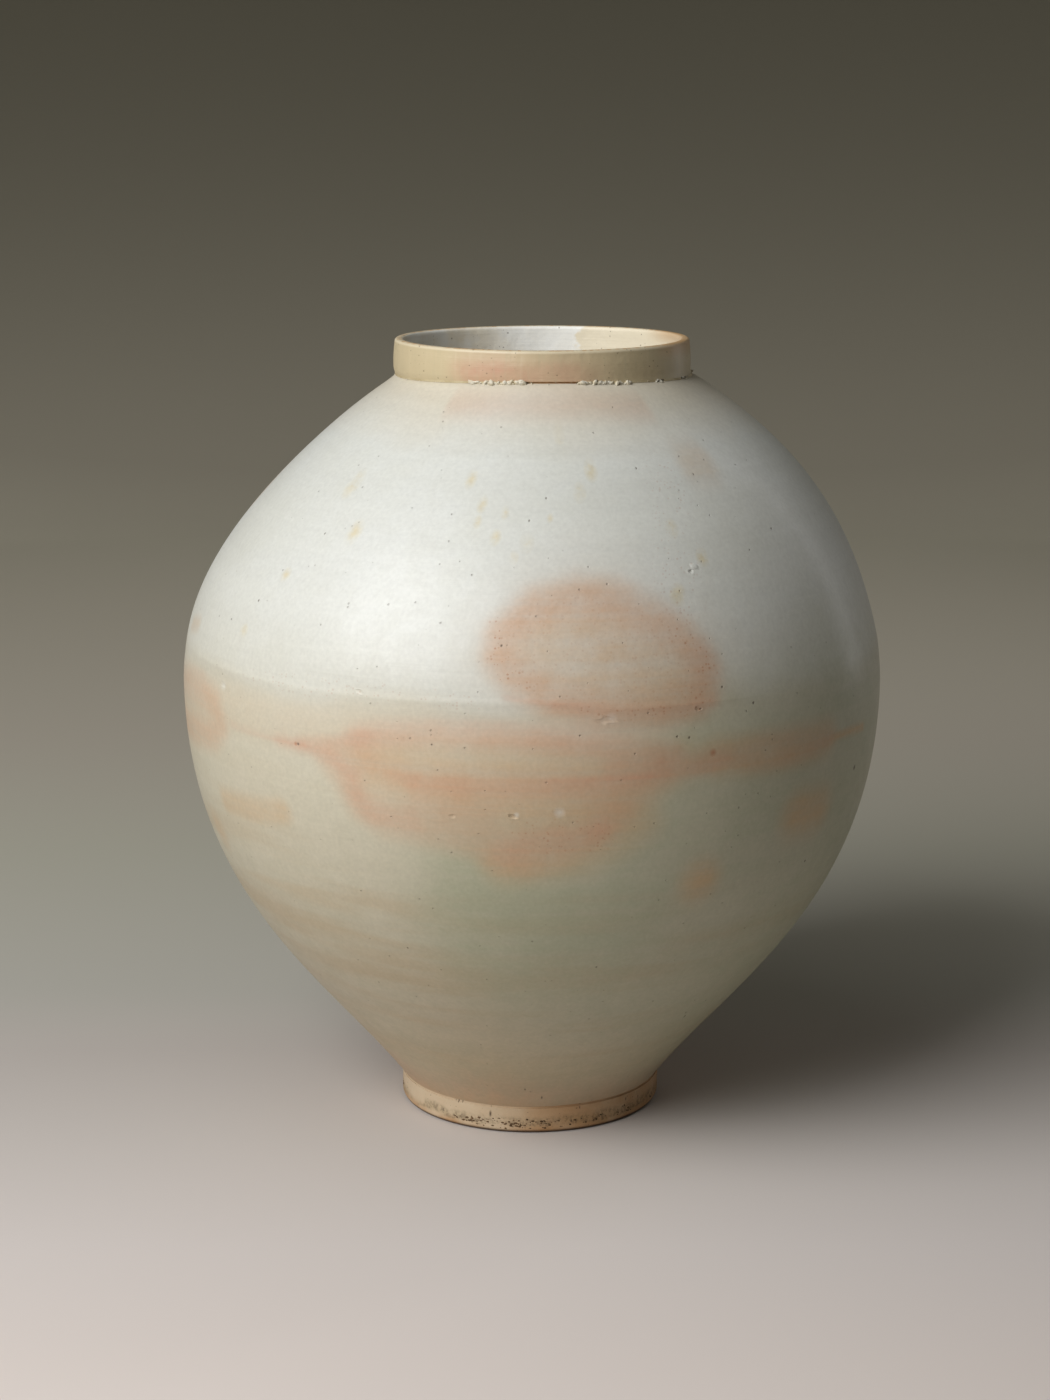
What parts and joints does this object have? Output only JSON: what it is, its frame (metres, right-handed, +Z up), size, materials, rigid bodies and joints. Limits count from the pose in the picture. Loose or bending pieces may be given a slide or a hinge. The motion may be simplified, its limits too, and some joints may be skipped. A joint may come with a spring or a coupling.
{
  "type": "moon jar",
  "caption": "Large round white-glazed storage jar: bowls luted rim to rim, a short upright mouth ring and a narrow bare foot ring, with the glaze coats as separate skins.",
  "frame": {"origin": "centre of the foot on the surface that the jar stands on", "axes": "+Z up along the jar's axis, +X to the right and -Y towards the viewer in the front view"},
  "size_m": [0.3463, 0.3464, 0.387],
  "materials": {
    "body_clay": "fired porcelain clay, matt",
    "slip_clay": "fired slip, matt",
    "foot_clay": "bare fired clay, matt, stained",
    "body_glaze": "satin milk-white glaze with pink blushes",
    "inside_glaze": "satin milk-white glaze",
    "mouth_glaze": "thin cream glaze, satin",
    "glaze_crumbs": "crawled glaze, rough",
    "kiln_sand": "fused sand, rough"
  },
  "bodies": {
    "root": {"lower_bowl": "body_clay", "upper_bowl": "body_clay", "belly_slip": "slip_clay", "neck_collar": "body_clay", "collar_slip": "slip_clay", "foot_ring": "foot_clay", "foot_slip": "slip_clay", "outer_glaze": "body_glaze", "inner_glaze": "inside_glaze", "collar_glaze": "mouth_glaze", "base_glaze": "inside_glaze", "collar_crumbs": "glaze_crumbs", "kiln_grit": "kiln_sand"}
  },
  "joints": []
}
